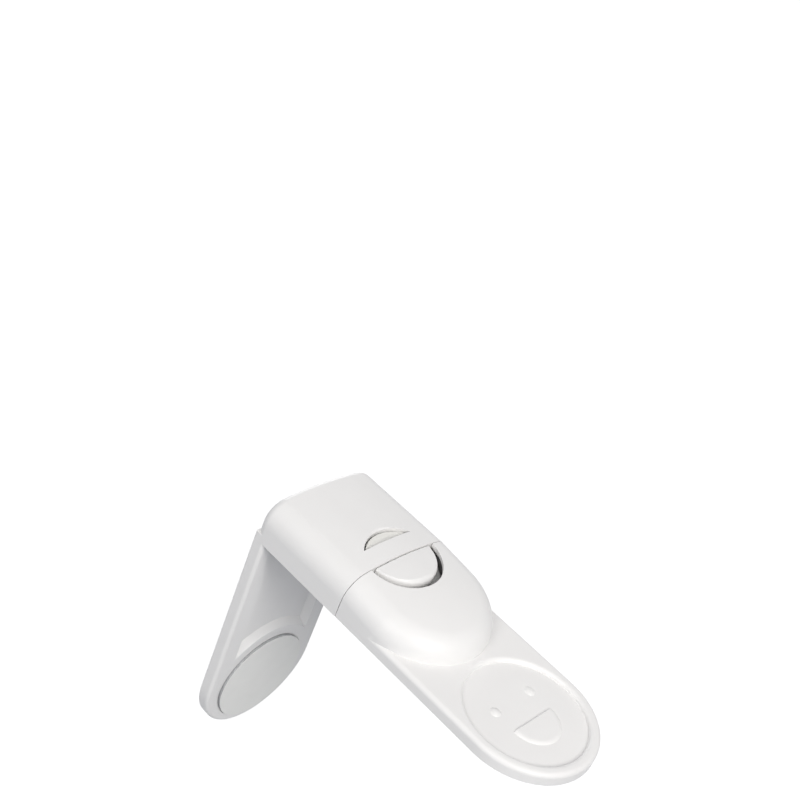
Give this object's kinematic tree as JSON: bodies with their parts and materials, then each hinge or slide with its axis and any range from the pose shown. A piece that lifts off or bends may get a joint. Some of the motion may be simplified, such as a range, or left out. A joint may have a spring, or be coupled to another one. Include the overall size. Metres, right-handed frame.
{
  "type": "cabinet safety lock",
  "caption": "White right-angle cabinet safety lock: a hook with a hanging stick-on arm slides onto a stick-on base and is let go by a D-shaped press button.",
  "frame": {"origin": "centre of the tail liner's outer face, on the cabinet panel", "axes": "+X along the base away from the hook, +Z out of the panel, +Y across"},
  "size_m": [0.0926, 0.036, 0.083],
  "materials": {
    "white_abs": "injection-moulded ABS, satin gloss",
    "leaf_pom": "moulded acetal spring leaf, slightly matt",
    "foam_tape": "closed-cell foam tape, cut disc",
    "release_liner": "smooth release film",
    "screw_steel": "zinc-plated steel"
  },
  "bodies": {
    "base": {"base_cover": "white_abs", "base_plate": "white_abs", "base_screws": "screw_steel", "latch_leaf": "leaf_pom", "tail_foam_pad": "foam_tape", "tail_liner": "release_liner"},
    "hook": {"hook_shell": "white_abs", "arm_foam_pad": "foam_tape", "arm_liner": "release_liner"},
    "button": {"release_button": "white_abs"}
  },
  "joints": [
    {"name": "hook_slide", "type": "slide", "parent": "base", "child": "hook", "axis": [-1, 0, 0], "range_m": [0, 0.026], "deforming": ["latch_leaf"]},
    {"name": "button_press", "type": "slide", "parent": "base", "child": "button", "axis": [0, 0, -1], "range_m": [0, 0.0016], "stiffness_N_per_m": 3000, "deforming": ["latch_leaf"]}
  ]
}
